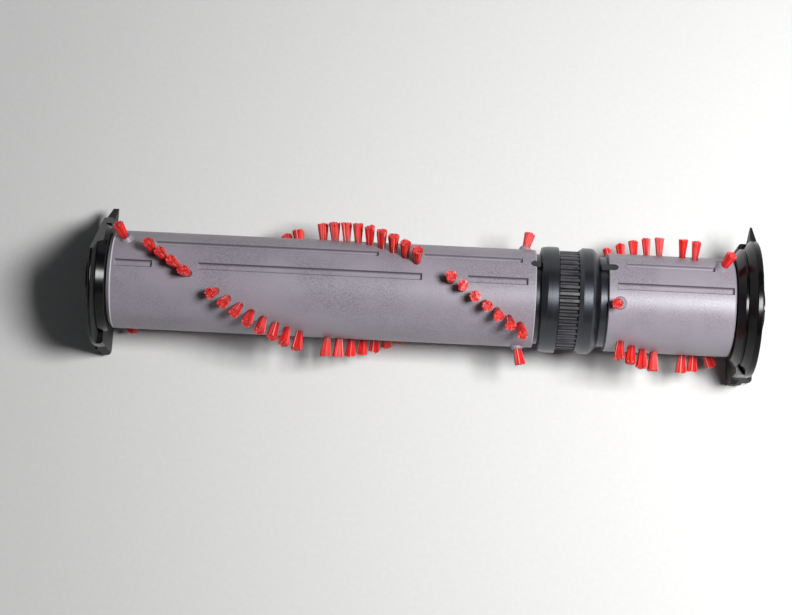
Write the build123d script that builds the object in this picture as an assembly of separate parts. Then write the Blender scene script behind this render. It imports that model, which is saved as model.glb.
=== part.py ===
from build123d import *
import os
from math import atan2, cos, degrees, pi, radians, sin

# Geared brush roll of an upright floor cleaner, in millimetres.
# The axle lies along X, with the short sleeve on the +X side. +Z is up, and the origin is on the
# axle, midway across the toothed belt face. Angles on the roll run from +Z towards +Y, in degrees.

# Fits and running clearances
PRESS_GAP = 0.03
SLIP_GAP = 0.1
BUSH_GAP = 0.05
END_FLOAT = 0.3

# Axle
AXLE_RADIUS = 4.0
AXLE_END_CHAMFER = 0.6

# Sleeves
SLEEVE_RADIUS = 20.5
SLEEVE_BORE_RADIUS = 13.0
SLEEVE_GEAR_CHAMFER = 0.4
LONG_OUTER_CHAMFER = 1.4
SHORT_OUTER_CHAMFER = 0.6

# Bristle tufts
TUFT_PITCH = 4.95
TUFT_ROOT_RADIUS = 1.55
TUFT_TIP_RADIUS = 2.2
TUFT_HEIGHT = 7.8
SOCKET_DEPTH = 6.0
SOCKET_FLOOR_GAP = 0.1

# Two helical rows on each sleeve: a pair of values is for the first row and the second
ROW_TURN_LENGTH = 219.5
OUTER_TUFT_LEAN = 24.0

# Rows on the long sleeve, measured from its outer end, with tufts that fan out along it
LONG_ROW_ANGLES = (22.8, 208.3)
LONG_END_TUFTS = (6.4, 9.7)
LONG_FIRST_TUFTS = (18.9, 16.9)
LONG_GROUP_COUNTS = (4, 8, 9, 7)
LONG_GROUP_GAPS = ((11.6, 11.35, 11.9), (10.8, 10.4, 14.0))
LONG_LAST_MARGIN = 4.25
LONG_FAN_CENTRE = 122.0
LONG_FAN_RADIUS = 370.0

# Rows on the short sleeve, measured from its gear end
SHORT_ROW_ANGLES = (115.3, 295.0)
SHORT_FIRST_TUFTS = (2.4, 6.3)
SHORT_LEAD_COUNTS = (5, 4)
SHORT_PAIR_COUNT = 2
SHORT_GROUP_GAPS = (9.0, 12.65)
SHORT_END_TUFTS = (47.2, 44.6)
SHORT_LAST_MARGIN = 5.3
SHORT_FAN_CENTRE = 29.0
SHORT_FAN_RADIUS = 260.0

# Leaning pairs of tufts beside the gear, on opposite sides of the roll
GEAR_TUFT_LEAN = 13.0
LONG_GEAR_TUFT_ANGLE = 88.0
LONG_GEAR_TUFT_INSETS = (4.2, 6.2)
SHORT_GEAR_TUFT_ANGLE = -12.0
SHORT_GEAR_TUFT_INSETS = (4.6, 4.6)

# Raised bosses under the tufts at the rows' outer ends and beside the gear
BOSS_BASE_RADIUS = 3.2
BOSS_TOP_RADIUS = 2.4
BOSS_HEIGHT = 1.1
BOSS_ROOT = 1.6

# Straight shallow slots along the sleeves, broken where a row of tufts crosses
SLOT_ANGLES = (8.0, 38.0)
SLOT_WIDTH = 3.2
SLOT_DEPTH = 1.4
SLOT_DRAFT = 30.0
SLOT_GEAR_MARGIN = 3.4
SLOT_SHORTEST = 6.0
LONG_SLOT_OUTER_MARGIN = 2.8
LONG_SLOT_ROW_MARGIN = 9.3
SHORT_SLOT_OUTER_MARGIN = 0.9
SHORT_SLOT_ROW_MARGIN = 5.6

# Toothed belt gear
TOOTH_COUNT = 44
BELT_PITCH = 3.0
BELT_PITCH_OFFSET = 0.38
TOOTH_FACE = 8.0
GROOVE_RADIUS = 0.95
GROOVE_CENTRE_DROP = 0.3
FLANGE_SEAT_RADIUS = 16.5
SPIGOT_LENGTH = 14.0
SPIGOT_CHAMFER = 0.8

# Flange rings beside the teeth: chamfer, crest, taper, slope and neck, going away from the teeth
FLANGE_RADIUS = 22.2
FLANGE_TOOTH_RADIUS = 20.9
FLANGE_TAPER_DROP = 0.5
NECK_RADIUS = 18.8
LEFT_FLANGE_CHAMFER = 0.6
LEFT_FLANGE_CREST = 4.4
LEFT_FLANGE_TAPER = 2.3
LEFT_FLANGE_SLOPE = 0.8
LEFT_NECK = 1.7
RIGHT_FLANGE_CHAMFER = 1.8
RIGHT_FLANGE_CREST = 3.7
RIGHT_FLANGE_TAPER = 1.0
RIGHT_FLANGE_SLOPE = 2.4
RIGHT_NECK = 3.0

# Drive lugs that key each flange ring into its sleeve
LUG_COUNT = 2
LUG_ANGLE = 34.0
LUG_WIDTH = 3.4
LUG_FOOT_RADIUS = 17.0
LUG_TOP_DROP = 0.25
LEFT_LUG_REACH = 2.4
RIGHT_LUG_REACH = 3.8

# Hub that plugs each sleeve's outer end, and the felt ring packed in front of it
HUB_LENGTH = 14.0
HUB_RECESS = 4.0
HUB_BOSS_RADIUS = 6.0
FELT_RUNNING_GAP = 0.4

# Bearing parts at each end, set out inwards from the end cap's outer face
BUSH_RADIUS = 7.0
BUSH_INSET = 0.7
BUSH_BARREL = 6.0
BUSH_FLANGE_RADIUS = 8.4
BUSH_FLANGE = 1.5
WASHER_RADIUS = 6.4
WASHER_THICKNESS = 0.8
CLIP_RADIUS = 6.2
CLIP_GROOVE_RADIUS = 3.5
CLIP_THICKNESS = 1.0
CLIP_MOUTH = 4.6
COVER_RADIUS = 8.2
COVER_THICKNESS = 1.4
COVER_SINK = 0.5
COVER_CHAMFER = 0.4

# End caps, set out outwards from the sleeve's end
CAP_GAP = 0.7
CAP_NECK_RADIUS = 21.6
CAP_RIDGE_STEP = 0.5
CAP_RIM_RADIUS = 28.5
CAP_RIM_ROUND = 0.6
CAP_HUB_RADIUS = 10.0
CAP_HUB_PROUD = 3.5
CAP_RELIEF_DEPTH = 2.6
CAP_SHOULDER_RADIUS = 12.5
CAP_RIB_COUNT = 8
CAP_RIB_WIDTH = 1.6
FOOT_DROP = 30.0
FOOT_HALF_WIDTH = 28.0
FOOT_CORNER = 4.0
FOOT_EDGE_ROUND = 1.4
TOE_HALF_WIDTH = 26.5
TOE_HEIGHT = 9.0
TOE_CORNER = 3.0
EAR_TIP_THICKNESS = 2.4
EAR_ROOT_RADIUS = 24.0
EAR_HALF_SPREAD = 34.0
LEFT_CAP_BACK = 2.2
LEFT_RIDGE_PLACE = 3.9
LEFT_RIDGE_RADIUS = 23.1
LEFT_RIDGE_WIDTH = 0.5
LEFT_RIM_WIDTH = 1.4
LEFT_CAP_DEPTH = 6.4
LEFT_TOE_DEPTH = 1.8
LEFT_RELIEF_RADIUS = 17.6
LEFT_EAR_ANGLE = 118.0
LEFT_EAR_REACH = 39.5
RIGHT_CAP_BACK = 3.2
RIGHT_RIDGE_PLACE = 3.2
RIGHT_RIDGE_RADIUS = 25.0
RIGHT_RIDGE_WIDTH = 0.9
RIGHT_RIM_WIDTH = 2.4
RIGHT_CAP_DEPTH = 9.8
RIGHT_TOE_DEPTH = 3.4
RIGHT_RELIEF_RADIUS = 24.0
RIGHT_EAR_ANGLE = -119.0
RIGHT_EAR_REACH = 33.5

# Flat flank on the left cap, and locating fin on the right one
FLANK_ANGLE = 58.0
FLANK_DISTANCE = 20.3
FIN_ANGLE = 92.0
FIN_REACH = 35.5
FIN_ROOT_WIDTH = 3.8
FIN_NOSE_WIDTH = 0.8
FIN_ROOT_RADIUS = 22.0
FIN_HALF_SPAN = 12.0

# Sizes that follow from the values above
TOOTH_RADIUS = TOOTH_COUNT * BELT_PITCH / (2 * pi) - BELT_PITCH_OFFSET
LEFT_FLANGE = (
    LEFT_FLANGE_CHAMFER,
    LEFT_FLANGE_CREST,
    LEFT_FLANGE_TAPER,
    LEFT_FLANGE_SLOPE,
    LEFT_NECK,
)
RIGHT_FLANGE = (
    RIGHT_FLANGE_CHAMFER,
    RIGHT_FLANGE_CREST,
    RIGHT_FLANGE_TAPER,
    RIGHT_FLANGE_SLOPE,
    RIGHT_NECK,
)
SOCKET_RADIUS = TUFT_ROOT_RADIUS + PRESS_GAP
LUG_RADIUS = SLEEVE_RADIUS - LUG_TOP_DROP


def row_stations(first, counts, gaps):
    """Places along a sleeve of the tufts in one row, group after group."""
    stations = []
    start = first
    for index, count in enumerate(counts):
        stations += [start + step * TUFT_PITCH for step in range(count)]
        if index < len(gaps):
            start = stations[-1] + gaps[index]
    return stations


LONG_STATIONS = [
    row_stations(first, LONG_GROUP_COUNTS, gaps) for first, gaps in zip(LONG_FIRST_TUFTS, LONG_GROUP_GAPS)
]
SHORT_STATIONS = [
    row_stations(first, (lead, SHORT_PAIR_COUNT), (gap,))
    for first, lead, gap in zip(SHORT_FIRST_TUFTS, SHORT_LEAD_COUNTS, SHORT_GROUP_GAPS)
]
LONG_LENGTH = max(stations[-1] for stations in LONG_STATIONS) + LONG_LAST_MARGIN
SHORT_LENGTH = max(SHORT_END_TUFTS) + SHORT_LAST_MARGIN
LONG_GEAR_END = -TOOTH_FACE / 2 - sum(LEFT_FLANGE)
LONG_OUTER_END = LONG_GEAR_END - LONG_LENGTH
SHORT_GEAR_END = TOOTH_FACE / 2 + sum(RIGHT_FLANGE)
SHORT_OUTER_END = SHORT_GEAR_END + SHORT_LENGTH
ROWS = range(len(LONG_ROW_ANGLES))


def helix_angle(distance):
    """Turn of a row over a distance along the roll."""
    return distance * 360 / ROW_TURN_LENGTH


def long_row_angle(row, station):
    return LONG_ROW_ANGLES[row] - helix_angle(station - LONG_FIRST_TUFTS[row])


def short_row_angle(row, station):
    return SHORT_ROW_ANGLES[row] - helix_angle(station - SHORT_FIRST_TUFTS[row])


def fan_lean(station, centre, radius):
    """Lean along the roll of a tuft that points away from the centre of its fan."""
    return degrees(atan2(station - centre, radius))


def on_roll(x, angle):
    """Place on the axle at x, whose own Z points out of the roll at that angle."""
    return Location((x, 0, 0), (-angle, 0, 0))


def turned(*points):
    """Solid of revolution about the axle from points given as (x, radius)."""
    return revolve(Polygon(*points, align=None), axis=Axis.X)


def tube(start, end, outer, inner):
    return turned((start, inner), (start, outer), (end, outer), (end, inner))


def both_sides(angle):
    """An angle on the roll and the one opposite to it."""
    return angle, angle + 180


# Each tuft place is a location on the sleeve's surface, with Z along the bristles
def tuft_place(x, angle, lean):
    return on_roll(x, angle) * Location((0, 0, SLEEVE_RADIUS), (0, lean, 0))


def long_row_places(row):
    places = []
    for station in LONG_STATIONS[row]:
        lean = fan_lean(station, LONG_FAN_CENTRE, LONG_FAN_RADIUS)
        places.append(tuft_place(LONG_OUTER_END + station, long_row_angle(row, station), lean))
    return places


def short_row_places(row):
    places = []
    for station in SHORT_STATIONS[row]:
        lean = fan_lean(station, SHORT_FAN_CENTRE, SHORT_FAN_RADIUS)
        places.append(tuft_place(SHORT_GEAR_END + station, short_row_angle(row, station), lean))
    return places


LONG_OUTER_PLACES = [
    tuft_place(LONG_OUTER_END + station, long_row_angle(row, station), -OUTER_TUFT_LEAN)
    for row, station in enumerate(LONG_END_TUFTS)
]
LONG_GEAR_PLACES = [
    tuft_place(LONG_GEAR_END - inset, angle, GEAR_TUFT_LEAN)
    for inset, angle in zip(LONG_GEAR_TUFT_INSETS, both_sides(LONG_GEAR_TUFT_ANGLE))
]
SHORT_GEAR_PLACES = [
    tuft_place(SHORT_GEAR_END + inset, angle, -GEAR_TUFT_LEAN)
    for inset, angle in zip(SHORT_GEAR_TUFT_INSETS, both_sides(SHORT_GEAR_TUFT_ANGLE))
]
SHORT_OUTER_PLACES = [
    tuft_place(SHORT_GEAR_END + station, short_row_angle(row, station), OUTER_TUFT_LEAN)
    for row, station in enumerate(SHORT_END_TUFTS)
]


def tuft(mouth):
    """One bundle of bristles: a straight root up to its socket's mouth and a flared, flat-cut brush."""
    root_depth = SOCKET_DEPTH - SOCKET_FLOOR_GAP
    foot = (Align.CENTER, Align.CENTER, Align.MIN)
    root = Pos(0, 0, -root_depth) * Cylinder(TUFT_ROOT_RADIUS, root_depth + mouth, align=foot)
    brush = Cone(TUFT_ROOT_RADIUS, TUFT_TIP_RADIUS, TUFT_HEIGHT - mouth, align=foot)
    return root + Pos(0, 0, mouth) * brush


def tufts_at(places, mouth=0.0):
    bundle = tuft(mouth)
    return Compound(children=[place * bundle for place in places])


def socket(top):
    depth = SOCKET_DEPTH + top
    return Pos(0, 0, top - depth / 2) * Cylinder(SOCKET_RADIUS, depth)


def boss():
    """Raised seat of a leaning tuft, rooted below the sleeve's surface."""
    height = BOSS_HEIGHT + BOSS_ROOT
    return Pos(0, 0, BOSS_HEIGHT - height / 2) * Cone(BOSS_BASE_RADIUS, BOSS_TOP_RADIUS, height)


# Slots
def slot_gear_margin(slot_angle, lug_reach):
    """Length kept solid at the gear end, longer where a drive lug stands in line with the slot."""
    lug_half_angle = degrees((LUG_WIDTH + SLOT_WIDTH) / 2 / SLEEVE_RADIUS)
    half_step = 180 / LUG_COUNT
    off_lug = (slot_angle - LUG_ANGLE + half_step) % (2 * half_step) - half_step
    return SLOT_GEAR_MARGIN + (lug_reach if abs(off_lug) < lug_half_angle else 0)


def slot_runs(start, end, slot_angle, first_angles, row_margin):
    """Stretches of one slot between two stations, clear of the rows that cross it."""
    crossings = []
    for first_angle in first_angles:
        turn = (first_angle - slot_angle) % 360 - 360
        while turn / helix_angle(1) - row_margin < end:
            crossings.append(turn / helix_angle(1))
            turn += 360
    runs = []
    for crossing in sorted(crossings):
        runs.append((start, crossing - row_margin))
        start = max(start, crossing + row_margin)
    runs.append((start, end))
    return [(low, high) for low, high in runs if high - low >= SLOT_SHORTEST]


def slot_cut(x_start, x_end, angle):
    """Straight flat-floored channel with drafted walls, cut into the sleeve's surface."""
    mouth = Rectangle(x_end - x_start, SLOT_WIDTH)
    channel = extrude(mouth, SLOT_DEPTH, dir=(0, 0, -1), taper=SLOT_DRAFT)
    return on_roll((x_start + x_end) / 2, angle) * Pos(0, 0, SLEEVE_RADIUS) * channel


def lug_bar(reach, grow):
    """Round-headed key along +X from a flange ring's end face, standing at the top of the roll."""
    width = LUG_WIDTH + 2 * grow
    length = reach + grow
    straight = length - width / 2
    outline = Pos(straight / 2, 0) * Rectangle(straight, width) + Pos(straight, 0) * Circle(width / 2)
    foot = LUG_FOOT_RADIUS - grow
    return Pos(0, 0, foot) * extrude(outline, SLEEVE_RADIUS - foot + grow)


def drive_lugs(reach, grow=0.0):
    bar = lug_bar(reach, grow)
    return [on_roll(0, LUG_ANGLE + step * 360 / LUG_COUNT) * bar for step in range(LUG_COUNT)]


def sleeve(start, end, start_chamfer, end_chamfer, holes, bosses, slots, notches):
    """Thick moulded tube with its bosses, slots, tuft sockets and lug notches."""
    body = turned(
        (start, SLEEVE_BORE_RADIUS),
        (start, SLEEVE_RADIUS - start_chamfer),
        (start + start_chamfer, SLEEVE_RADIUS),
        (end - end_chamfer, SLEEVE_RADIUS),
        (end, SLEEVE_RADIUS - end_chamfer),
        (end, SLEEVE_BORE_RADIUS),
    )
    for place in bosses:
        body += place * boss()
    cuts = [slot_cut(*slot) for slot in slots]
    cuts += [place * socket(BOSS_HEIGHT) for place in holes + bosses]
    return body - cuts - notches


def long_sleeve():
    first_angles = [long_row_angle(row, 0) for row in ROWS]
    slots = []
    for slot_angle in SLOT_ANGLES:
        end = LONG_LENGTH - slot_gear_margin(slot_angle, LEFT_LUG_REACH)
        for angle in both_sides(slot_angle):
            runs = slot_runs(LONG_SLOT_OUTER_MARGIN, end, angle, first_angles, LONG_SLOT_ROW_MARGIN)
            slots += [(LONG_OUTER_END + low, LONG_OUTER_END + high, angle) for low, high in runs]
    holes = [place for row in ROWS for place in long_row_places(row)]
    bars = drive_lugs(LEFT_LUG_REACH, SLIP_GAP)
    notches = [Pos(LONG_GEAR_END, 0, 0) * mirror(bar, about=Plane.YZ) for bar in bars]
    bosses = LONG_OUTER_PLACES + LONG_GEAR_PLACES
    chamfers = (LONG_OUTER_CHAMFER, SLEEVE_GEAR_CHAMFER)
    return sleeve(LONG_OUTER_END, LONG_GEAR_END, *chamfers, holes, bosses, slots, notches)


def short_sleeve():
    first_angles = [short_row_angle(row, 0) for row in ROWS]
    end = SHORT_LENGTH - SHORT_SLOT_OUTER_MARGIN
    slots = []
    for slot_angle in SLOT_ANGLES:
        start = slot_gear_margin(slot_angle, RIGHT_LUG_REACH)
        for angle in both_sides(slot_angle):
            runs = slot_runs(start, end, angle, first_angles, SHORT_SLOT_ROW_MARGIN)
            slots += [(SHORT_GEAR_END + low, SHORT_GEAR_END + high, angle) for low, high in runs]
    holes = [place for row in ROWS for place in short_row_places(row)]
    notches = [Pos(SHORT_GEAR_END, 0, 0) * bar for bar in drive_lugs(RIGHT_LUG_REACH, SLIP_GAP)]
    bosses = SHORT_OUTER_PLACES + SHORT_GEAR_PLACES
    chamfers = (SLEEVE_GEAR_CHAMFER, SHORT_OUTER_CHAMFER)
    return sleeve(SHORT_GEAR_END, SHORT_OUTER_END, *chamfers, holes, bosses, slots, notches)


# Gear
def drive_gear():
    """Toothed ring with a seat for each flange ring and a spigot for each sleeve, in one piece."""
    face = TOOTH_FACE / 2
    spigot = SLEEVE_BORE_RADIUS - PRESS_GAP
    bore = AXLE_RADIUS + PRESS_GAP
    low = LONG_GEAR_END - SPIGOT_LENGTH
    high = SHORT_GEAR_END + SPIGOT_LENGTH
    body = turned(
        (low, bore),
        (low, spigot - SPIGOT_CHAMFER),
        (low + SPIGOT_CHAMFER, spigot),
        (LONG_GEAR_END, spigot),
        (LONG_GEAR_END, FLANGE_SEAT_RADIUS),
        (-face, FLANGE_SEAT_RADIUS),
        (-face, TOOTH_RADIUS),
        (face, TOOTH_RADIUS),
        (face, FLANGE_SEAT_RADIUS),
        (SHORT_GEAR_END, FLANGE_SEAT_RADIUS),
        (SHORT_GEAR_END, spigot),
        (high - SPIGOT_CHAMFER, spigot),
        (high, spigot - SPIGOT_CHAMFER),
        (high, bore),
    )
    groove = Rot(0, 90, 0) * Cylinder(GROOVE_RADIUS, TOOTH_FACE)
    centre = Pos(0, 0, TOOTH_RADIUS - GROOVE_CENTRE_DROP)
    step = 360 / TOOTH_COUNT
    return body - [on_roll(0, index * step) * centre * groove for index in range(TOOTH_COUNT)]


def flange_ring(chamfer_width, crest, taper_width, slope, neck, lug_reach):
    """Belt guide ring, its tooth side at x = 0 and its lugs pointing along +X."""
    bore = FLANGE_SEAT_RADIUS + PRESS_GAP
    crest_end = chamfer_width + crest
    taper_end = crest_end + taper_width
    neck_start = taper_end + slope
    end = neck_start + neck
    body = turned(
        (0, bore),
        (0, FLANGE_TOOTH_RADIUS),
        (chamfer_width, FLANGE_RADIUS),
        (crest_end, FLANGE_RADIUS),
        (taper_end, FLANGE_RADIUS - FLANGE_TAPER_DROP),
        (neck_start, NECK_RADIUS),
        (end, NECK_RADIUS),
        (end, bore),
    )
    trim = tube(0, end + lug_reach, LUG_RADIUS, bore)
    for bar in drive_lugs(neck + lug_reach):
        body += Pos(neck_start, 0, 0) * bar & trim
    return body


def left_flange():
    ring = mirror(flange_ring(*LEFT_FLANGE, LEFT_LUG_REACH), about=Plane.YZ)
    return Pos(-TOOTH_FACE / 2, 0, 0) * ring


def right_flange():
    return Pos(TOOTH_FACE / 2, 0, 0) * flange_ring(*RIGHT_FLANGE, RIGHT_LUG_REACH)


# Ends: every part is made with x = 0 at the sleeve's end and +X pointing out of the roll
def at_left(part):
    return Pos(LONG_OUTER_END, 0, 0) * mirror(part, about=Plane.YZ)


def at_right(part):
    return Pos(SHORT_OUTER_END, 0, 0) * part


def bush_span(cap_depth):
    outer = cap_depth - BUSH_INSET
    return outer - BUSH_BARREL - BUSH_FLANGE, outer


def washer_seat(cap_depth):
    return bush_span(cap_depth)[0] - END_FLOAT - WASHER_THICKNESS


def clip_span(cap_depth):
    inner = bush_span(cap_depth)[1] + END_FLOAT
    return inner, inner + CLIP_THICKNESS


def end_hub(cap_depth):
    """Plug in the sleeve's mouth that rides on the axle, with a boss for the thrust washer."""
    plug = SLEEVE_BORE_RADIUS - PRESS_GAP
    bore = AXLE_RADIUS + PRESS_GAP
    low = -HUB_RECESS - HUB_LENGTH
    return turned(
        (low, bore),
        (low, plug - SPIGOT_CHAMFER),
        (low + SPIGOT_CHAMFER, plug),
        (-HUB_RECESS, plug),
        (-HUB_RECESS, HUB_BOSS_RADIUS),
        (washer_seat(cap_depth), HUB_BOSS_RADIUS),
        (washer_seat(cap_depth), bore),
    )


def felt_ring():
    """Dust seal packed in the sleeve's mouth, round the end cap's hub."""
    inner = CAP_HUB_RADIUS + FELT_RUNNING_GAP
    return tube(-HUB_RECESS, CAP_GAP - END_FLOAT, SLEEVE_BORE_RADIUS - SLIP_GAP, inner)


def thrust_washer(cap_depth):
    seat = washer_seat(cap_depth)
    return tube(seat, seat + WASHER_THICKNESS, WASHER_RADIUS, AXLE_RADIUS + PRESS_GAP)


def bush(cap_depth):
    """Flanged bearing bush, pressed into the end cap from the roll's side."""
    low, high = bush_span(cap_depth)
    bore = AXLE_RADIUS + BUSH_GAP
    return turned(
        (low, bore),
        (low, BUSH_FLANGE_RADIUS),
        (low + BUSH_FLANGE, BUSH_FLANGE_RADIUS),
        (low + BUSH_FLANGE, BUSH_RADIUS),
        (high, BUSH_RADIUS),
        (high, bore),
    )


def retaining_clip(cap_depth):
    """Open spring ring in the axle's groove, outboard of the bush."""
    low, high = clip_span(cap_depth)
    ring = tube(low, high, CLIP_RADIUS, CLIP_GROOVE_RADIUS + PRESS_GAP)
    mouth = Pos((low + high) / 2, 0, CLIP_RADIUS / 2) * Box(2 * CLIP_THICKNESS, CLIP_MOUTH, CLIP_RADIUS)
    return ring - mouth


def cover_span(cap_depth):
    high = cap_depth + CAP_HUB_PROUD - COVER_SINK
    return high - COVER_THICKNESS, high


def dust_cover(cap_depth):
    """Disc pressed into the end cap's hub over the axle's end."""
    low, high = cover_span(cap_depth)
    radius = COVER_RADIUS - PRESS_GAP
    edge = COVER_CHAMFER
    return turned((low, 0), (low, radius), (high - edge, radius), (high, radius - edge), (high, 0))


def along_roll_end(radius, angle):
    """Point in the plane across the axle, as (Y, Z)."""
    return radius * sin(radians(angle)), radius * cos(radians(angle))


def floor_block(half_width, height, corner, length):
    """Block standing on the floor, its lower corners rounded, extruded along the axle."""
    face = Pos(0, height / 2 - FOOT_DROP) * Rectangle(2 * half_width, height)
    face = fillet(face.vertices().group_by(Axis.Y)[0], corner)
    return extrude(Plane.YZ * face, length)


def cap_bell(ridge, ridge_radius, ridge_width, rim_width, depth):
    """Flared round of the end cap: a neck at the sleeve, a ridge, then a cone out to the rim."""
    ridge_end = ridge + ridge_width
    bell = turned(
        (CAP_GAP, 0),
        (CAP_GAP, CAP_NECK_RADIUS),
        (ridge, ridge_radius),
        (ridge_end, ridge_radius),
        (ridge_end, ridge_radius - CAP_RIDGE_STEP),
        (depth - rim_width, CAP_RIM_RADIUS),
        (depth, CAP_RIM_RADIUS),
        (depth, 0),
    )
    rim_edges = bell.edges().filter_by(GeomType.CIRCLE).group_by(SortBy.RADIUS)[-1]
    return fillet(rim_edges, CAP_RIM_ROUND)


def cap_foot(back, depth):
    foot = floor_block(FOOT_HALF_WIDTH, FOOT_DROP, FOOT_CORNER, depth - back)
    return Pos(back, 0, 0) * fillet(foot.edges().filter_by(Axis.Z), FOOT_EDGE_ROUND)


def cap_flank():
    """Cutter for the flat flank beside the left cap's rim, from its back outwards."""
    size = 2 * FOOT_DROP
    width = LEFT_CAP_DEPTH - LEFT_CAP_BACK
    block = Pos(LEFT_CAP_BACK + width / 2, 0, FLANK_DISTANCE + size / 2) * Box(width, size, size)
    return on_roll(0, FLANK_ANGLE) * block


def cap_ear(back, depth, ear_angle, reach):
    """Pointed corner beside the rim, as deep as the cap at its root and thin at its tip."""
    outline = Polygon(
        along_roll_end(FLANK_DISTANCE, -EAR_HALF_SPREAD),
        along_roll_end(reach, 0),
        along_roll_end(FLANK_DISTANCE, EAR_HALF_SPREAD),
        (0, 0),
        align=None,
    )
    side = Polygon(
        (back, 0),
        (back, reach),
        (back + EAR_TIP_THICKNESS, reach),
        (depth, EAR_ROOT_RADIUS),
        (depth, 0),
        align=None,
    )
    leaf = extrude(Plane.YZ * outline, depth, dir=(1, 0, 0))
    wedge = extrude(Plane.XZ * side, FOOT_DROP, both=True)
    return on_roll(0, ear_angle) * (wedge & leaf)


def cap_fin(middle):
    """Locating fin that narrows to a nose, seen both along the axle and from above it."""
    half_nose = FIN_NOSE_WIDTH / 2
    outlines = []
    for half_root in (FIN_ROOT_WIDTH / 2, FIN_HALF_SPAN):
        outline = Polygon(
            (-half_root, FIN_ROOT_RADIUS),
            (-half_nose, FIN_REACH),
            (half_nose, FIN_REACH),
            (half_root, FIN_ROOT_RADIUS),
            align=None,
        )
        outlines.append(outline)
    wedge = extrude(Plane.XZ * outlines[0], FIN_HALF_SPAN, both=True)
    leaf = extrude(Plane.YZ * outlines[1], FIN_ROOT_WIDTH, both=True)
    return on_roll(middle, FIN_ANGLE) * (wedge & leaf)


def cap_relief(depth, radius):
    """Ribbed recess in the end cap's outer face, between its shoulder and its rim."""
    floor = depth - CAP_RELIEF_DEPTH
    recess = tube(floor, depth, radius, CAP_SHOULDER_RADIUS)
    rib = Pos((floor + depth) / 2, 0, radius / 2) * Box(CAP_RELIEF_DEPTH, CAP_RIB_WIDTH, radius)
    return recess - [on_roll(0, index * 360 / CAP_RIB_COUNT) * rib for index in range(CAP_RIB_COUNT)]


def cap_hub(cap, depth, toe_depth, relief_radius):
    """The end cap with its outer recess, its toe on the floor and the hub that holds the bush."""
    bush_low = bush_span(depth)[0]
    bush_seat = bush_low + BUSH_FLANGE
    hub_end = depth + CAP_HUB_PROUD
    body = cap - cap_relief(depth, relief_radius)
    body += Pos(depth, 0, 0) * floor_block(TOE_HALF_WIDTH, TOE_HEIGHT, TOE_CORNER, toe_depth)
    body += tube(bush_seat, hub_end, CAP_HUB_RADIUS, AXLE_RADIUS)
    body -= tube(min(CAP_GAP, bush_low) - END_FLOAT, bush_seat, CAP_HUB_RADIUS, 0)
    body -= tube(bush_seat, hub_end, BUSH_RADIUS + PRESS_GAP, 0)
    return body - tube(cover_span(depth)[0], hub_end, COVER_RADIUS, 0)


def left_end_cap():
    """Moulded end cap with a flat flank that runs out into an ear."""
    cap = cap_bell(LEFT_RIDGE_PLACE, LEFT_RIDGE_RADIUS, LEFT_RIDGE_WIDTH, LEFT_RIM_WIDTH, LEFT_CAP_DEPTH)
    cap += cap_foot(LEFT_CAP_BACK, LEFT_CAP_DEPTH)
    cap -= cap_flank()
    cap += cap_ear(LEFT_CAP_BACK, LEFT_CAP_DEPTH, LEFT_EAR_ANGLE, LEFT_EAR_REACH)
    return cap_hub(cap, LEFT_CAP_DEPTH, LEFT_TOE_DEPTH, LEFT_RELIEF_RADIUS)


def right_end_cap():
    """Deeper moulded end cap with a round rim, a small ear and a locating fin."""
    cap = cap_bell(RIGHT_RIDGE_PLACE, RIGHT_RIDGE_RADIUS, RIGHT_RIDGE_WIDTH, RIGHT_RIM_WIDTH, RIGHT_CAP_DEPTH)
    cap += cap_foot(RIGHT_CAP_BACK, RIGHT_CAP_DEPTH)
    cap += cap_ear(RIGHT_CAP_BACK, RIGHT_CAP_DEPTH, RIGHT_EAR_ANGLE, RIGHT_EAR_REACH)
    cap += cap_fin(RIGHT_CAP_DEPTH - RIGHT_RIM_WIDTH / 2)
    return cap_hub(cap, RIGHT_CAP_DEPTH, RIGHT_TOE_DEPTH, RIGHT_RELIEF_RADIUS)


def axle():
    """Ground steel rod through the whole roll, with a clip groove near each end."""
    left_tail = LONG_OUTER_END - cover_span(LEFT_CAP_DEPTH)[0] + END_FLOAT
    right_tail = SHORT_OUTER_END + cover_span(RIGHT_CAP_DEPTH)[0] - END_FLOAT
    shaft = turned(
        (left_tail, 0),
        (left_tail, AXLE_RADIUS - AXLE_END_CHAMFER),
        (left_tail + AXLE_END_CHAMFER, AXLE_RADIUS),
        (right_tail - AXLE_END_CHAMFER, AXLE_RADIUS),
        (right_tail, AXLE_RADIUS - AXLE_END_CHAMFER),
        (right_tail, 0),
    )
    for place, depth in ((at_left, LEFT_CAP_DEPTH), (at_right, RIGHT_CAP_DEPTH)):
        low, high = clip_span(depth)
        shaft -= place(tube(low - PRESS_GAP, high + PRESS_GAP, 2 * AXLE_RADIUS, CLIP_GROOVE_RADIUS))
    return shaft


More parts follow.
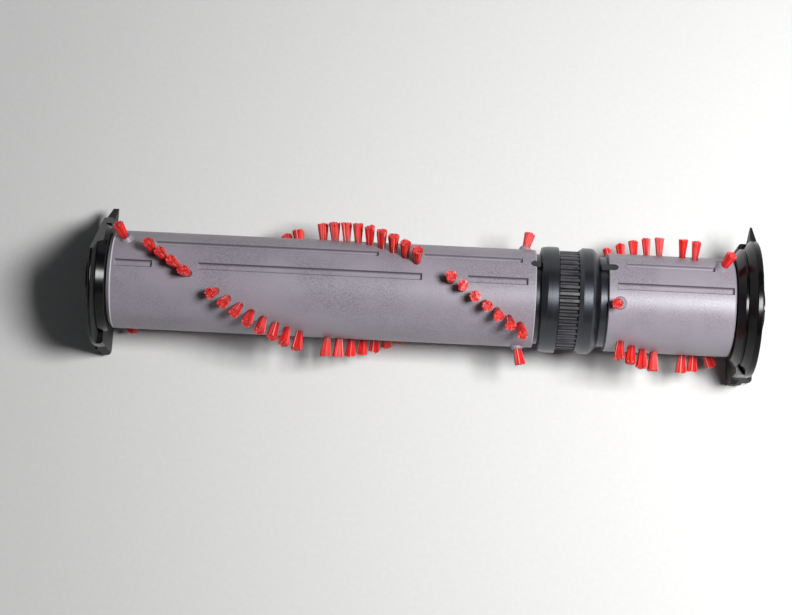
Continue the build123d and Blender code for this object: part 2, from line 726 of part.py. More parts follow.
NODES = {
    "axle": axle(),
    "drive_gear": drive_gear(),
    "left_belt_flange": left_flange(),
    "right_belt_flange": right_flange(),
    "long_sleeve": long_sleeve(),
    "short_sleeve": short_sleeve(),
    "long_outer_tufts": tufts_at(LONG_OUTER_PLACES, BOSS_HEIGHT),
    "long_gear_tufts": tufts_at(LONG_GEAR_PLACES, BOSS_HEIGHT),
    "short_gear_tufts": tufts_at(SHORT_GEAR_PLACES, BOSS_HEIGHT),
    "short_outer_tufts": tufts_at(SHORT_OUTER_PLACES, BOSS_HEIGHT),
}
for row in ROWS:
    NODES[f"long_row_{row + 1}_tufts"] = tufts_at(long_row_places(row))
    NODES[f"short_row_{row + 1}_tufts"] = tufts_at(short_row_places(row))
for side, place, depth in (("left", at_left, LEFT_CAP_DEPTH), ("right", at_right, RIGHT_CAP_DEPTH)):
    NODES[f"{side}_end_hub"] = place(end_hub(depth))
    NODES[f"{side}_felt_ring"] = place(felt_ring())
    NODES[f"{side}_thrust_washer"] = place(thrust_washer(depth))
    NODES[f"{side}_bush"] = place(bush(depth))
    NODES[f"{side}_retaining_clip"] = place(retaining_clip(depth))
    NODES[f"{side}_dust_cover"] = place(dust_cover(depth))
NODES["left_end_cap"] = at_left(left_end_cap())
NODES["right_end_cap"] = at_right(right_end_cap())

os.makedirs("parts", exist_ok=True)
for name, shape in NODES.items():
    export_step(shape, f"parts/{name}.step")
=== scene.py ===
import math

import bmesh
import bpy
import numpy as np
from mathutils import Matrix, Vector


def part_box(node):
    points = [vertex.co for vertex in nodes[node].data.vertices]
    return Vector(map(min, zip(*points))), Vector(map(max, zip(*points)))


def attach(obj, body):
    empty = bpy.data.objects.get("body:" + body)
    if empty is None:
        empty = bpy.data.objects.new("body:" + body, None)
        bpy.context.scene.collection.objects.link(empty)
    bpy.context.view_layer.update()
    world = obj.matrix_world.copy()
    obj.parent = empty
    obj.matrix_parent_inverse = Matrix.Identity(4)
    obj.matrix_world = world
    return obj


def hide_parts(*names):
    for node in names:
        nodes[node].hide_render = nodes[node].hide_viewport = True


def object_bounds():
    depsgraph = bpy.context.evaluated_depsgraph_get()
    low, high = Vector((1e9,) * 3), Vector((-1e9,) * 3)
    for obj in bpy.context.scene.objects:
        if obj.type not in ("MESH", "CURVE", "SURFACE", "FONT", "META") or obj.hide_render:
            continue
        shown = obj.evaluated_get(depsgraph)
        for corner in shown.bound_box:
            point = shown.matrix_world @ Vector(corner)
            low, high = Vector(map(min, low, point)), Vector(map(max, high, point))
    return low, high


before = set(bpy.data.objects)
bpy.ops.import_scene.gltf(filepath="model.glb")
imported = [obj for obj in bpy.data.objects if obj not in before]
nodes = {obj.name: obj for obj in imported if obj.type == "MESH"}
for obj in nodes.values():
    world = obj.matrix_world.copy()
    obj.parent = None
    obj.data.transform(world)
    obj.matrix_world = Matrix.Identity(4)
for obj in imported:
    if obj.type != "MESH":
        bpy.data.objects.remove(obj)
cad_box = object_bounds()

# Drive gear
# The toothed ring that the belt runs on, moulded in black nylon with a spigot into each sleeve.
# The tooth crests are coloured a lighter, mottled grey than the rest of the gear, which is black.


def srgb(red, green, blue):
    """A colour as it reads on a screen, 0 to 255, made linear for a shader socket."""
    shares = [value / 255 for value in (red, green, blue)]
    linear = [s / 12.92 if s <= 0.04045 else ((s + 0.055) / 1.055) ** 2.4 for s in shares]
    return (*linear, 1.0)


def group_tree(name, inputs, outputs):
    """An empty shader group with named sockets, and its two end nodes."""
    tree = bpy.data.node_groups.new(name, "ShaderNodeTree")
    for label, kind, value in inputs:
        socket = tree.interface.new_socket(label, in_out="INPUT", socket_type=kind)
        socket.default_value = value
    for label, kind in outputs:
        tree.interface.new_socket(label, in_out="OUTPUT", socket_type=kind)
    return tree, tree.nodes.new("NodeGroupInput"), tree.nodes.new("NodeGroupOutput")


def math_node(tree, operation, *operands):
    """One Math node of a shader or geometry tree; each operand is a number or the socket that feeds it."""
    node = tree.nodes.new("ShaderNodeMath")
    node.operation = operation
    for slot, value in enumerate(operands):
        if isinstance(value, bpy.types.NodeSocket):
            tree.links.new(value, node.inputs[slot])
        else:
            node.inputs[slot].default_value = value
    return node.outputs[0]


def ramp_node(tree, value, low, high):
    """A smooth 0 to 1 step of a value between two limits."""
    node = tree.nodes.new("ShaderNodeMapRange")
    node.interpolation_type = "SMOOTHSTEP"
    node.inputs["From Min"].default_value = low
    node.inputs["From Max"].default_value = high
    tree.links.new(value, node.inputs["Value"])
    return node.outputs["Result"]


def mix_colour(tree, share, first, second):
    """One colour Mix node; share and colours are values or the sockets that feed them."""
    node = tree.nodes.new("ShaderNodeMix")
    node.data_type = "RGBA"
    for slot, value in ((0, share), (6, first), (7, second)):
        if isinstance(value, bpy.types.NodeSocket):
            tree.links.new(value, node.inputs[slot])
        else:
            node.inputs[slot].default_value = value
    return node.outputs[2]


def noise_node(tree, vector, scale, detail):
    """A Noise Texture on a vector socket, read as a value."""
    node = tree.nodes.new("ShaderNodeTexNoise")
    node.inputs["Scale"].default_value = scale
    node.inputs["Detail"].default_value = detail
    tree.links.new(vector, node.inputs["Vector"])
    return node.outputs["Fac"]


def finish(name):
    """A new material with its Principled shader, and the Object coordinates of the piece."""
    material = bpy.data.materials.new(name)
    material.use_nodes = True
    tree = material.node_tree
    shader = tree.nodes["Principled BSDF"]
    place = tree.nodes.new("ShaderNodeTexCoord").outputs["Object"]
    return material, tree, shader, place


def bump_into(tree, shader, height, strength, depth):
    """Feeds a height to the shader's Normal as a bump of that depth in metres."""
    bump = tree.nodes.new("ShaderNodeBump")
    bump.inputs["Strength"].default_value = strength
    bump.inputs["Distance"].default_value = depth
    tree.links.new(height, bump.inputs["Height"])
    tree.links.new(bump.outputs["Normal"], shader.inputs["Normal"])


def dress(material, *names):
    """Gives CAD nodes their finish."""
    for name in names:
        slots = nodes[name].data.materials
        slots.clear()
        slots.append(material)


roll_place, ends_in, ends_out = group_tree(
    "place_on_roll",
    [("Place", "NodeSocketVector", (0.0, 0.0, 0.0))],
    [("Along", "NodeSocketFloat"), ("Radius", "NodeSocketFloat")],
)
split = roll_place.nodes.new("ShaderNodeSeparateXYZ")
roll_place.links.new(ends_in.outputs["Place"], split.inputs[0])
square_y = math_node(roll_place, "POWER", split.outputs["Y"], 2.0)
square_z = math_node(roll_place, "POWER", split.outputs["Z"], 2.0)
radius_out = math_node(roll_place, "SQRT", math_node(roll_place, "ADD", square_y, square_z))
roll_place.links.new(split.outputs["X"], ends_out.inputs["Along"])
roll_place.links.new(radius_out, ends_out.inputs["Radius"])

grain, ends_in, ends_out = group_tree(
    "moulded_grain",
    [
        ("Place", "NodeSocketVector", (0.0, 0.0, 0.0)),
        ("Grain Scale", "NodeSocketFloat", 2500.0),
        ("Mottle Scale", "NodeSocketFloat", 60.0),
    ],
    [("Grain", "NodeSocketFloat"), ("Mottle", "NodeSocketFloat")],
)
fine = grain.nodes.new("ShaderNodeTexNoise")
fine.inputs["Detail"].default_value = 3.0
grain.links.new(ends_in.outputs["Place"], fine.inputs["Vector"])
grain.links.new(ends_in.outputs["Grain Scale"], fine.inputs["Scale"])
grain.links.new(fine.outputs["Fac"], ends_out.inputs["Grain"])
broad = grain.nodes.new("ShaderNodeTexNoise")
broad.inputs["Detail"].default_value = 4.0
grain.links.new(ends_in.outputs["Place"], broad.inputs["Vector"])
grain.links.new(ends_in.outputs["Mottle Scale"], broad.inputs["Scale"])
grain.links.new(broad.outputs["Fac"], ends_out.inputs["Mottle"])


def placed_group(tree, group, place, **values):
    """A shader group set in a material on its Object coordinates."""
    node = tree.nodes.new("ShaderNodeGroup")
    node.node_tree = group
    tree.links.new(place, node.inputs["Place"])
    for label, value in values.items():
        node.inputs[label.replace("_", " ")].default_value = value
    return node.outputs


TOOTH_GAP_RADIUS = 0.01945
TOOTH_CREST_RADIUS = 0.0206
GEAR_BLACK = srgb(14, 14, 17)
GEAR_CREST_GREY = srgb(68, 68, 75)
gear_nylon, tree, shader, place = finish("gear_nylon")
on_roll = placed_group(tree, roll_place, place)
marks = placed_group(tree, grain, place, Grain_Scale=1800.0, Mottle_Scale=140.0)
crest = ramp_node(tree, on_roll["Radius"], TOOTH_GAP_RADIUS, TOOTH_CREST_RADIUS)
crest_grey_share = math_node(tree, "MULTIPLY", crest, ramp_node(tree, marks["Mottle"], 0.25, 0.65))
toned = mix_colour(tree, crest_grey_share, GEAR_BLACK, GEAR_CREST_GREY)
tree.links.new(toned, shader.inputs["Base Color"])
tree.links.new(math_node(tree, "MULTIPLY_ADD", crest_grey_share, -0.15, 0.55), shader.inputs["Roughness"])
bump_into(tree, shader, marks["Grain"], 0.25, 0.0001)
dress(gear_nylon, "drive_gear")

# Sleeves
# The two grey tubes that carry the brush, moulded in filled nylon with a fine satin grain and pressed on
# the gear's spigots. The grain is speckled, a painted highlight lightens the long sleeve's two rims, and
# painted shade darkens the walls of the slots and other recesses.

SLEEVE_TONE = srgb(145, 139, 149)
SLEEVE_DARK = srgb(122, 116, 126)
# Painted highlight colour for the long sleeve's outer rim and its rim beside the gear.
SLEEVE_RIM_HIGHLIGHT = srgb(222, 218, 224)
# Painted shade colour for the walls of the slots and other recesses.
SLEEVE_SLOT_SHADE = srgb(84, 79, 86)
OUTER_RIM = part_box("long_sleeve")[0][0] + 0.002
GEAR_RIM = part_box("long_sleeve")[1][0] - 0.0006
GEAR_RIM_HIGHLIGHT_SHARE = 0.4
RIM_FADE = 0.0003
SLOT_WALL = (0.0194, 0.0199)
SLOT_LIP = (0.02032, 0.02042)
sleeve_nylon, tree, shader, place = finish("sleeve_nylon")
marks = placed_group(tree, grain, place, Grain_Scale=1500.0, Mottle_Scale=45.0)
speckled = mix_colour(tree, ramp_node(tree, marks["Grain"], 0.3, 0.7), SLEEVE_DARK, SLEEVE_TONE)
clouded = mix_colour(tree, ramp_node(tree, marks["Mottle"], 0.35, 0.7), speckled, SLEEVE_TONE)
on_roll = placed_group(tree, roll_place, place)
# Painted shade: the walls of the slots and other recesses are darkened, all but the walls facing +X, towards
# the lamp.
deep = ramp_node(tree, on_roll["Radius"], SLOT_LIP[1], SLOT_LIP[0])
walls = math_node(tree, "MULTIPLY", deep, ramp_node(tree, on_roll["Radius"], *SLOT_WALL))
faces = tree.nodes.new("ShaderNodeSeparateXYZ")
tree.links.new(place.node.outputs["Normal"], faces.inputs[0])
slot_shade_share = math_node(tree, "MULTIPLY", walls, ramp_node(tree, faces.outputs["X"], 0.6, 0.2))
slot_shaded = mix_colour(tree, slot_shade_share, clouded, SLEEVE_SLOT_SHADE)
# Painted highlight: the long sleeve's outer rim and, more faintly, its rim beside the gear are lightened,
# broken up by the mottle.
outer_rim = ramp_node(tree, on_roll["Along"], OUTER_RIM, OUTER_RIM - RIM_FADE)
past_gear_rim = ramp_node(tree, on_roll["Along"], GEAR_RIM, GEAR_RIM + RIM_FADE)
before_gear = ramp_node(tree, on_roll["Along"], 0.0, -RIM_FADE)
gear_rim = math_node(tree, "MULTIPLY", past_gear_rim, before_gear)
rims = math_node(tree, "MULTIPLY_ADD", gear_rim, GEAR_RIM_HIGHLIGHT_SHARE, outer_rim)
rim_highlight_share = math_node(tree, "MULTIPLY", rims, ramp_node(tree, marks["Mottle"], 0.15, 0.55))
tree.links.new(mix_colour(tree, rim_highlight_share, slot_shaded, SLEEVE_RIM_HIGHLIGHT), shader.inputs["Base Color"])
tree.links.new(math_node(tree, "MULTIPLY_ADD", marks["Mottle"], 0.12, 0.36), shader.inputs["Roughness"])
shader.inputs["Specular IOR Level"].default_value = 0.65
bump_into(tree, shader, marks["Grain"], 0.35, 0.0001)
dress(sleeve_nylon, "long_sleeve", "short_sleeve")

# Belt flanges
# The black rings beside the teeth that keep the belt on, turned so that fine lines run round them.
# Each is keyed into its sleeve by two round-headed lugs that are part of the ring.

FLANGE_DARK = srgb(11, 11, 14)
FLANGE_WORN = srgb(20, 20, 24)
FLANGE_SHINE = (0.84, 0.9, 1.0, 1.0)
TURNED_LINE_SCALE = (2600.0, 60.0, 60.0)
flange_nylon, tree, shader, place = finish("flange_nylon")
marks = placed_group(tree, grain, place, Grain_Scale=900.0, Mottle_Scale=120.0)
stretched = tree.nodes.new("ShaderNodeMapping")
stretched.inputs["Scale"].default_value = TURNED_LINE_SCALE
tree.links.new(place, stretched.inputs["Vector"])
turned_lines = noise_node(tree, stretched.outputs["Vector"], 1.0, 3.0)
toned = mix_colour(tree, ramp_node(tree, marks["Mottle"], 0.3, 0.7), FLANGE_DARK, FLANGE_WORN)
tree.links.new(toned, shader.inputs["Base Color"])
tree.links.new(math_node(tree, "MULTIPLY_ADD", turned_lines, 0.2, 0.22), shader.inputs["Roughness"])
shader.inputs["Specular IOR Level"].default_value = 0.9
shader.inputs["Specular Tint"].default_value = FLANGE_SHINE
bump_into(tree, shader, turned_lines, 0.3, 0.0001)
dress(flange_nylon, "left_belt_flange", "right_belt_flange")

# Axle and end fittings
# A drawn steel bar runs through the roll. At each end sit a moulded hub, a felt dust seal, a steel thrust
# washer, a sintered bronze bush and a sprung steel clip, all inside the caps.

bright_steel, tree, shader, place = finish("bright_steel")
marks = placed_group(tree, grain, place, Grain_Scale=4000.0, Mottle_Scale=200.0)
toned = mix_colour(tree, marks["Mottle"], srgb(150, 152, 156), srgb(196, 198, 202))
tree.links.new(toned, shader.inputs["Base Color"])
shader.inputs["Metallic"].default_value = 1.0
tree.links.new(math_node(tree, "MULTIPLY_ADD", marks["Grain"], 0.2, 0.22), shader.inputs["Roughness"])
dress(bright_steel, "axle", "left_thrust_washer", "right_thrust_washer")
dress(bright_steel, "left_retaining_clip", "right_retaining_clip")

bush_bronze, tree, shader, place = finish("bush_bronze")
marks = placed_group(tree, grain, place, Grain_Scale=5000.0, Mottle_Scale=300.0)
toned = mix_colour(tree, ramp_node(tree, marks["Grain"], 0.35, 0.65), srgb(110, 72, 38), srgb(178, 128, 74))
tree.links.new(toned, shader.inputs["Base Color"])
shader.inputs["Metallic"].default_value = 1.0
shader.inputs["Roughness"].default_value = 0.45
bump_into(tree, shader, marks["Grain"], 0.3, 0.0001)
dress(bush_bronze, "left_bush", "right_bush")

felt_wool, tree, shader, place = finish("felt_wool")
marks = placed_group(tree, grain, place, Grain_Scale=1200.0, Mottle_Scale=300.0)
toned = mix_colour(tree, marks["Grain"], srgb(88, 86, 84), srgb(150, 147, 142))
tree.links.new(toned, shader.inputs["Base Color"])
shader.inputs["Roughness"].default_value = 0.95
bump_into(tree, shader, marks["Grain"], 0.9, 0.0003)
dress(felt_wool, "left_felt_ring", "right_felt_ring")

hub_nylon, tree, shader, place = finish("hub_nylon")
marks = placed_group(tree, grain, place, Grain_Scale=1800.0, Mottle_Scale=150.0)
toned = mix_colour(tree, marks["Mottle"], srgb(22, 22, 24), srgb(44, 43, 46))
tree.links.new(toned, shader.inputs["Base Color"])
shader.inputs["Roughness"].default_value = 0.5
bump_into(tree, shader, marks["Grain"], 0.25, 0.0001)
dress(hub_nylon, "left_end_hub", "right_end_hub")

# Bristle tufts
# Bundles of red nylon bristle, each stapled into its own socket in the sleeve, so that they start as a tight
# round plug and spread towards a trimmed flat top. The bundles stand where the solid tufts stand.

TUFT_NODES = [name for name in nodes if name.endswith("_tufts")]
BRISTLES_IN_TUFT = 96
BRISTLE_RADIUS = 0.00021
BRISTLE_SIDES = 5
PLUG_RADIUS = 0.00135
TOP_RADIUS = 0.0023
SOCKET_SHARE = 0.43
SHORTEST_BRISTLE = 0.955
SLIM_NODE = "short_row_1_tufts"
SLIM_GIRTH = 0.84
STRAY = 0.00035
STRAY_GAIN = 4.0
STRAY_POWER = 3.0
STRAY_SCALE = 320.0
STRAND_RINGS = 3
TONE_SEED = 11
LENGTH_SEED = 5
TWIST_SEED = 3
END_BAND = 0.0003


def tuft_lines(name):
    """The foot and the top of every tuft solid in a CAD node, as pairs of points in the mesh's own order."""
    loose = bmesh.new()
    loose.from_mesh(nodes[name].data)
    bmesh.ops.remove_doubles(loose, verts=loose.verts, dist=1e-6)
    unseen = set(loose.verts)
    lines = []
    for start in loose.verts:
        if start not in unseen:
            continue
        unseen.remove(start)
        reached = [start]
        for vert in reached:
            beyond = [edge.other_vert(vert) for edge in vert.link_edges]
            fresh = [other for other in beyond if other in unseen]
            unseen.difference_update(fresh)
            reached.extend(fresh)
        points = np.array([vert.co for vert in reached])
        middle = points.mean(axis=0)
        axis = np.linalg.svd(points - middle, full_matrices=False)[2][0]
        if axis[1] * middle[1] + axis[2] * middle[2] < 0:
            axis = -axis
        along = points @ axis
        foot = points[along < along.min() + END_BAND].mean(axis=0)
        top = points[along > along.max() - END_BAND].mean(axis=0)
        lines.append((foot, top))
    loose.free()
    return lines


def node_in(tree, kind, **settings):
    """A node of a geometry tree with its enum settings made."""
    node = tree.nodes.new(kind)
    for label, value in settings.items():
        setattr(node, label, value)
    return node


def feed(tree, node, **values):
    """Sets or links a node's inputs by name, with _ for a space."""
    for label, value in values.items():
        socket = node.inputs[label.replace("_", " ")]
        if isinstance(value, bpy.types.NodeSocket):
            tree.links.new(value, socket)
        else:
            socket.default_value = value
    return node


def vector_math(tree, operation, first, second, scale=None):
    """A Vector Math node of a geometry tree."""
    node = node_in(tree, "ShaderNodeVectorMath", operation=operation)
    for slot, value in enumerate((first, second)):
        if isinstance(value, bpy.types.NodeSocket):
            tree.links.new(value, node.inputs[slot])
        elif value is not None:
            node.inputs[slot].default_value = value
    if scale is not None:
        tree.links.new(scale, node.inputs["Scale"])
    return node.outputs[0]


def stored(tree, geometry, name, kind, domain, value):
    """Writes a named attribute on a geometry."""
    node = node_in(tree, "GeometryNodeStoreNamedAttribute", data_type=kind, domain=domain)
    feed(tree, node, Geometry=geometry, Name=name, Value=value)
    return node.outputs["Geometry"]


def named(tree, name, kind):
    """Reads a named attribute."""
    node = node_in(tree, "GeometryNodeInputNamedAttribute", data_type=kind)
    node.inputs["Name"].default_value = name
    return node.outputs["Attribute"]


def chance(tree, low, high, seed):
    """A random value between two limits, with a fixed seed."""
    node = node_in(tree, "FunctionNodeRandomValue", data_type="FLOAT")
    sockets = {s.name: s for s in node.inputs if s.enabled}
    sockets["Min"].default_value = low
    sockets["Max"].default_value = high
    sockets["Seed"].default_value = seed
    return [s for s in node.outputs if s.enabled][0]


BRISTLE_INPUTS = (
    ("Bristles", "NodeSocketInt", BRISTLES_IN_TUFT),
    ("Sides", "NodeSocketInt", BRISTLE_SIDES),
    ("Bristle Radius", "NodeSocketFloat", BRISTLE_RADIUS),
    ("Plug Radius", "NodeSocketFloat", PLUG_RADIUS),
    ("Spread", "NodeSocketFloat", TOP_RADIUS / PLUG_RADIUS - 1),
    ("Stray", "NodeSocketFloat", STRAY),
)
bundling = bpy.data.node_groups.new("bristle_bundles", "GeometryNodeTree")
bundling.interface.new_socket("Geometry", in_out="INPUT", socket_type="NodeSocketGeometry")
bristle_sockets = {}
for label, kind, value in BRISTLE_INPUTS:
    bristle_sockets[label] = bundling.interface.new_socket(label, in_out="INPUT", socket_type=kind)
bundling.interface.new_socket("Geometry", in_out="OUTPUT", socket_type="NodeSocketGeometry")
given = bundling.nodes.new("NodeGroupInput").outputs
made = bundling.nodes.new("NodeGroupOutput")

strand = feed(bundling, node_in(bundling, "GeometryNodeCurvePrimitiveLine"), Start=(0, 0, 0), End=(0, 0, 1))
strand = feed(bundling, node_in(bundling, "GeometryNodeResampleCurve"), Curve=strand.outputs[0],
              Count=STRAND_RINGS)
ring = feed(bundling, node_in(bundling, "GeometryNodeCurvePrimitiveCircle"), Resolution=given["Sides"],
            Radius=given["Bristle Radius"])
bristle = node_in(bundling, "GeometryNodeCurveToMesh")
bristle.inputs["Fill Caps"].default_value = True
bundling.links.new(strand.outputs[0], bristle.inputs["Curve"])
bundling.links.new(ring.outputs["Curve"], bristle.inputs["Profile Curve"])

order = node_in(bundling, "GeometryNodeInputIndex").outputs[0]
fraction = math_node(bundling, "DIVIDE", math_node(bundling, "ADD", order, 0.5), given["Bristles"])
reach = math_node(bundling, "MULTIPLY", math_node(bundling, "SQRT", fraction), given["Plug Radius"])
golden = math_node(bundling, "MULTIPLY", order, math.pi * (3 - math.sqrt(5)))
spot = node_in(bundling, "ShaderNodeCombineXYZ")
for slot, wave in enumerate(("COSINE", "SINE")):
    offset = math_node(bundling, "MULTIPLY", reach, math_node(bundling, wave, golden))
    bundling.links.new(offset, spot.inputs[slot])
plug = feed(bundling, node_in(bundling, "GeometryNodePoints"), Count=given["Bristles"],
            Position=spot.outputs[0]).outputs[0]
plug = stored(bundling, plug, "plug_spot", "FLOAT_VECTOR", "POINT", spot.outputs[0])
plug = stored(bundling, plug, "strand_tone", "FLOAT", "POINT", chance(bundling, 0.0, 1.0, TONE_SEED))
length = node_in(bundling, "ShaderNodeCombineXYZ")
length.inputs[0].default_value = 1.0
length.inputs[1].default_value = 1.0
bundling.links.new(chance(bundling, SHORTEST_BRISTLE, 1.0, LENGTH_SEED), length.inputs[2])
bundle = feed(bundling, node_in(bundling, "GeometryNodeInstanceOnPoints"), Points=plug,
              Instance=bristle.outputs[0], Scale=length.outputs[0])
bundle = feed(bundling, node_in(bundling, "GeometryNodeRealizeInstances"), Geometry=bundle.outputs[0])
height = node_in(bundling, "ShaderNodeSeparateXYZ")
bundling.links.new(node_in(bundling, "GeometryNodeInputPosition").outputs[0], height.inputs[0])
raised = stored(bundling, bundle.outputs[0], "tuft_height", "FLOAT", "POINT", height.outputs["Z"])
past_socket = math_node(bundling, "SUBTRACT", named(bundling, "tuft_height", "FLOAT"), SOCKET_SHARE)
above = math_node(bundling, "MAXIMUM", past_socket, 0.0)
opened = math_node(bundling, "DIVIDE", above, 1 - SOCKET_SHARE)
splay = vector_math(bundling, "SCALE", named(bundling, "plug_spot", "FLOAT_VECTOR"), None,
                    math_node(bundling, "MULTIPLY", opened, given["Spread"]))
flared = feed(bundling, node_in(bundling, "GeometryNodeSetPosition"), Geometry=raised, Offset=splay)

upright = feed(bundling, node_in(bundling, "FunctionNodeAlignRotationToVector", axis="Z"),
               Vector=named(bundling, "tuft_axis", "FLOAT_VECTOR"))
twist = node_in(bundling, "ShaderNodeCombineXYZ")
bundling.links.new(chance(bundling, 0.0, 2 * math.pi, TWIST_SEED), twist.inputs[2])
twisted = node_in(bundling, "FunctionNodeEulerToRotation")
bundling.links.new(twist.outputs[0], twisted.inputs[0])
turned = feed(bundling, node_in(bundling, "FunctionNodeRotateRotation", rotation_space="LOCAL"),
              Rotation=upright.outputs[0], Rotate_By=twisted.outputs[0])
tall = node_in(bundling, "ShaderNodeCombineXYZ")
bundling.links.new(named(bundling, "tuft_girth", "FLOAT"), tall.inputs[0])
bundling.links.new(named(bundling, "tuft_girth", "FLOAT"), tall.inputs[1])
bundling.links.new(named(bundling, "tuft_length", "FLOAT"), tall.inputs[2])
brush = feed(bundling, node_in(bundling, "GeometryNodeInstanceOnPoints"), Points=given["Geometry"],
             Instance=flared.outputs[0], Rotation=turned.outputs[0], Scale=tall.outputs[0])
whole = node_in(bundling, "GeometryNodeRealizeInstances")
bundling.links.new(brush.outputs[0], whole.inputs[0])
drift = node_in(bundling, "ShaderNodeTexNoise")
drift.inputs["Scale"].default_value = STRAY_SCALE
drift.inputs["Detail"].default_value = 2.0
bundling.links.new(node_in(bundling, "GeometryNodeInputPosition").outputs[0], drift.inputs["Vector"])
centred = vector_math(bundling, "SUBTRACT", drift.outputs["Color"], (0.5, 0.5, 0.5))
raised_share = math_node(bundling, "POWER", named(bundling, "tuft_height", "FLOAT"), STRAY_POWER)
stray_reach = math_node(bundling, "MULTIPLY", given["Stray"], STRAY_GAIN)
sway = math_node(bundling, "MULTIPLY", raised_share, stray_reach)
swayed = vector_math(bundling, "SCALE", centred, None, sway)
stray = feed(bundling, node_in(bundling, "GeometryNodeSetPosition"), Geometry=whole.outputs[0], Offset=swayed)

BRISTLE_FOOT = srgb(150, 14, 13)
BRISTLE_SIDE = srgb(236, 38, 36)
BRISTLE_TIP = srgb(250, 70, 66)
BRISTLE_PALE = srgb(255, 160, 158)
bristle_nylon, tree, shader, place = finish("bristle_nylon")
height_read = tree.nodes.new("ShaderNodeAttribute")
height_read.attribute_name = "tuft_height"
tone_read = tree.nodes.new("ShaderNodeAttribute")
tone_read.attribute_name = "strand_tone"
rising = mix_colour(tree, ramp_node(tree, height_read.outputs["Fac"], 0.4, 0.75), BRISTLE_FOOT, BRISTLE_SIDE)
tipped = mix_colour(tree, ramp_node(tree, height_read.outputs["Fac"], 0.93, 1.0), rising, BRISTLE_TIP)
dulled = mix_colour(tree, ramp_node(tree, tone_read.outputs["Fac"], 0.18, 0.0), tipped, BRISTLE_FOOT)
bleached = mix_colour(tree, ramp_node(tree, tone_read.outputs["Fac"], 0.72, 1.12), dulled, BRISTLE_PALE)
tree.links.new(bleached, shader.inputs["Base Color"])
gloss = math_node(tree, "MULTIPLY_ADD", tone_read.outputs["Fac"], 0.15, 0.3)
tree.links.new(gloss, shader.inputs["Roughness"])

coloured = feed(bundling, node_in(bundling, "GeometryNodeSetMaterial"), Geometry=stray.outputs[0],
                Material=bristle_nylon)
bundling.links.new(coloured.outputs[0], made.inputs[0])

feet = []
axes = []
lengths = []
girths = []
for name in sorted(TUFT_NODES):
    for foot, top in tuft_lines(name):
        feet.append(foot)
        axes.append((top - foot) / np.linalg.norm(top - foot))
        lengths.append(np.linalg.norm(top - foot))
        girths.append(SLIM_GIRTH if name == SLIM_NODE else 1.0)
spots = bpy.data.meshes.new("tuft_feet")
spots.from_pydata([tuple(foot) for foot in feet], [], [])
spots.attributes.new("tuft_axis", "FLOAT_VECTOR", "POINT").data.foreach_set("vector", np.ravel(axes))
spots.attributes.new("tuft_length", "FLOAT", "POINT").data.foreach_set("value", lengths)
spots.attributes.new("tuft_girth", "FLOAT", "POINT").data.foreach_set("value", girths)
grower = bpy.data.objects.new("tuft_feet", spots)
bpy.context.scene.collection.objects.link(grower)
growth = grower.modifiers.new("bristle_bundles", "NODES")
growth.node_group = bundling
for label, kind, value in BRISTLE_INPUTS:
    growth[bristle_sockets[label].identifier] = value
grown = grower.evaluated_get(bpy.context.evaluated_depsgraph_get())
bristle_mesh = bpy.data.meshes.new_from_object(grown)
bpy.data.objects.remove(grower)
bristles = bpy.data.objects.new("bristle_tufts", bristle_mesh)
bpy.context.scene.collection.objects.link(bristles)
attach(bristles, "roll")
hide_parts(*TUFT_NODES)

# End caps
# The two still mouldings that hold the roll in the cleaner's head: glossy black plastic straight from a
# polished mould on the round, grained on the flat faces, foot, ear and fin, with a dust cover at each end.

POLISHED_RADIUS = 0.0286
GRAINED_RADIUS = 0.0291
CAP_DARK = srgb(5, 5, 7)
CAP_LIGHT = srgb(9, 9, 11)
cap_gloss, tree, shader, place = finish("cap_gloss")
marks = placed_group(tree, grain, place, Grain_Scale=1400.0, Mottle_Scale=90.0)
toned = mix_colour(tree, ramp_node(tree, marks["Mottle"], 0.3, 0.75), CAP_DARK, CAP_LIGHT)
tree.links.new(toned, shader.inputs["Base Color"])
on_roll = placed_group(tree, roll_place, place)
faces = tree.nodes.new("ShaderNodeSeparateXYZ")
tree.links.new(place.node.outputs["Normal"], faces.inputs[0])
flat = ramp_node(tree, math_node(tree, "ABSOLUTE", faces.outputs["X"]), 0.85, 0.97)
outside = ramp_node(tree, on_roll["Radius"], POLISHED_RADIUS, GRAINED_RADIUS)
grained = math_node(tree, "MAXIMUM", flat, outside)
polish = math_node(tree, "MULTIPLY_ADD", marks["Mottle"], 0.1, 0.15)
tree.links.new(math_node(tree, "MULTIPLY_ADD", grained, 0.4, polish), shader.inputs["Roughness"])
tree.links.new(math_node(tree, "MULTIPLY_ADD", flat, 0.5, 0.22), shader.inputs["Specular IOR Level"])
bump_into(tree, shader, marks["Mottle"], 0.08, 0.0004)
dress(cap_gloss, "left_end_cap", "right_end_cap", "left_dust_cover", "right_dust_cover")

# Floor
# A pale matt sheet that the roll lies on, on the two caps' feet, swept up into a round backdrop far out.
# Away from the roll it shows its own pale colour to the eye and to reflections, and gives no diffuse light.

FLAT_RADIUS = 1.6
SWEEP_RADIUS = 0.5
WALL_TOP = 1.4
FLOOR_SIDES = 96
SWEEP_STEPS = 8
LIT_RADIUS = 0.24
PALE_RADIUS = 0.7
PALE_STRENGTH = 0.6
FLOOR_DARK = srgb(214, 214, 213)
FLOOR_LIGHT = srgb(222, 222, 221)
floor_level = cad_box[0][2]
turns = [math.pi / 2 * step / SWEEP_STEPS for step in range(SWEEP_STEPS + 1)]
sweep = [(FLAT_RADIUS + SWEEP_RADIUS * math.sin(turn), SWEEP_RADIUS * (1 - math.cos(turn))) for turn in turns]
sweep.append((FLAT_RADIUS + SWEEP_RADIUS, WALL_TOP))
bearings = [2 * math.pi * side / FLOOR_SIDES for side in range(FLOOR_SIDES)]
corners = []
for out, rise in sweep:
    corners.extend((out * math.cos(b), out * math.sin(b), floor_level + rise) for b in bearings)
faces = [tuple(range(FLOOR_SIDES))]
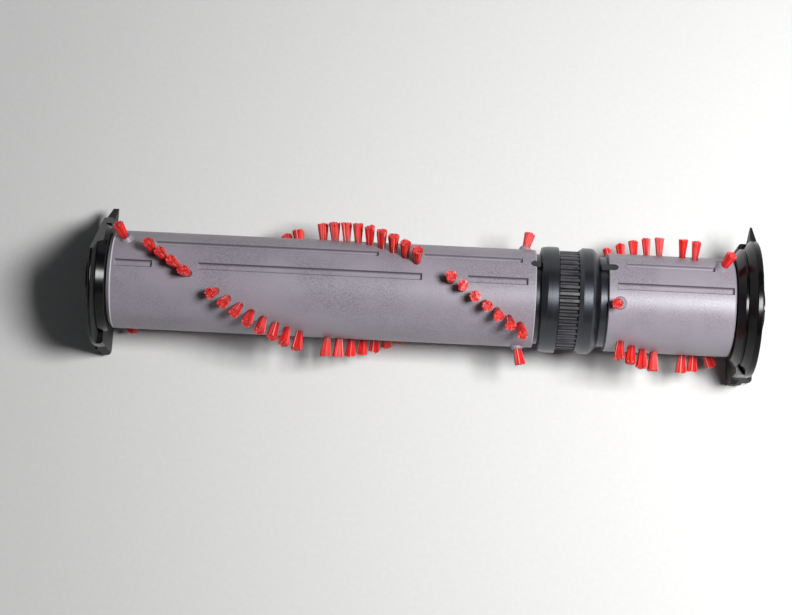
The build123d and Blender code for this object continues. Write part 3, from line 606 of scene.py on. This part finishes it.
for ring in range(len(sweep) - 1):
    low, high = ring * FLOOR_SIDES, (ring + 1) * FLOOR_SIDES
    for side in range(FLOOR_SIDES):
        following = (side + 1) % FLOOR_SIDES
        faces.append((low + side, high + side, high + following, low + following))
floor_mesh = bpy.data.meshes.new("floor")
floor_mesh.from_pydata(corners, [], faces)
floor_mesh.shade_smooth()
floor_mesh.polygons[0].use_smooth = False
floor = bpy.data.objects.new("floor", floor_mesh)
bpy.context.scene.collection.objects.link(floor)
floor_sheet, tree, shader, place = finish("floor_sheet")
marks = placed_group(tree, grain, place, Grain_Scale=500.0, Mottle_Scale=12.0)
toned = mix_colour(tree, marks["Grain"], FLOOR_DARK, FLOOR_LIGHT)
tree.links.new(toned, shader.inputs["Base Color"])
shader.inputs["Roughness"].default_value = 0.9
reach = tree.nodes.new("ShaderNodeVectorMath")
reach.operation = "LENGTH"
tree.links.new(place, reach.inputs[0])
ray = tree.nodes.new("ShaderNodeLightPath")
seen = math_node(tree, "MAXIMUM", ray.outputs["Is Camera Ray"], ray.outputs["Is Glossy Ray"])
seen = math_node(tree, "MAXIMUM", seen, ray.outputs["Is Transmission Ray"])
far = ramp_node(tree, reach.outputs["Value"], LIT_RADIUS, PALE_RADIUS)
pale = math_node(tree, "MULTIPLY", far, PALE_STRENGTH)
tree.links.new(math_node(tree, "MULTIPLY", pale, seen), shader.inputs["Emission Strength"])
shader.inputs["Emission Color"].default_value = (1.0, 1.0, 1.0, 1.0)
floor_mesh.materials.append(floor_sheet)

# Studio light
# One soft box above the right end, so that shadows fall to the left, and an even dim surround.

KEY_SIZE = (0.26, 0.2)
KEY_ENERGY = 7.4
KEY_PLACE = (0.26, -0.03, 0.63)
SURROUND_TONE = (0.9, 0.93, 1.0, 1.0)
SURROUND_STRENGTH = 0.05
key = bpy.data.lights.new("key", "AREA")
key.shape = "RECTANGLE"
key.size, key.size_y = KEY_SIZE
key.energy = KEY_ENERGY
key_holder = bpy.data.objects.new("key", key)
key_holder.location = KEY_PLACE
bpy.context.scene.collection.objects.link(key_holder)
surround = bpy.data.worlds.new("surround")
surround.use_nodes = True
background = surround.node_tree.nodes["Background"]
background.inputs["Color"].default_value = SURROUND_TONE
background.inputs["Strength"].default_value = SURROUND_STRENGTH
bpy.context.scene.world = surround

# Camera
# Almost straight above, with the roll's right end a little lower in the picture.

CAMERA_ELEVATION = math.radians(78)
CAMERA_TILT = math.radians(2.75)
CAMERA_DISTANCE = 0.881
PICTURE_WIDTH = 792
FOCAL_PIXELS = 2100
FACING_X = -0.0635
CENTRE_RIGHT = -0.00796
CENTRE_UP = -0.0060
back = Vector((0, -math.cos(CAMERA_ELEVATION), math.sin(CAMERA_ELEVATION)))
upward = Vector((0, math.sin(CAMERA_ELEVATION), math.cos(CAMERA_ELEVATION)))
right = Vector((math.cos(CAMERA_TILT), 0, 0)) + upward * math.sin(CAMERA_TILT)
above = upward * math.cos(CAMERA_TILT) - Vector((math.sin(CAMERA_TILT), 0, 0))
facing = Vector((FACING_X, 0, 0))
eye = facing + back * CAMERA_DISTANCE
middle = facing + right * CENTRE_RIGHT + above * CENTRE_UP
depth_axis = (eye - middle).normalized()
side_axis = above.cross(depth_axis).normalized()
top_axis = depth_axis.cross(side_axis)
lens = bpy.data.cameras.new("camera")
lens.sensor_fit = "HORIZONTAL"
lens.lens = lens.sensor_width * FOCAL_PIXELS / PICTURE_WIDTH
lens.clip_start = 0.01
camera = bpy.data.objects.new("camera", lens)
turn_to_view = Matrix((side_axis, top_axis, depth_axis)).transposed().to_4x4()
camera.matrix_world = Matrix.Translation(eye) @ turn_to_view
bpy.context.scene.collection.objects.link(camera)
bpy.context.scene.camera = camera
bpy.context.scene.view_settings.view_transform = "Standard"
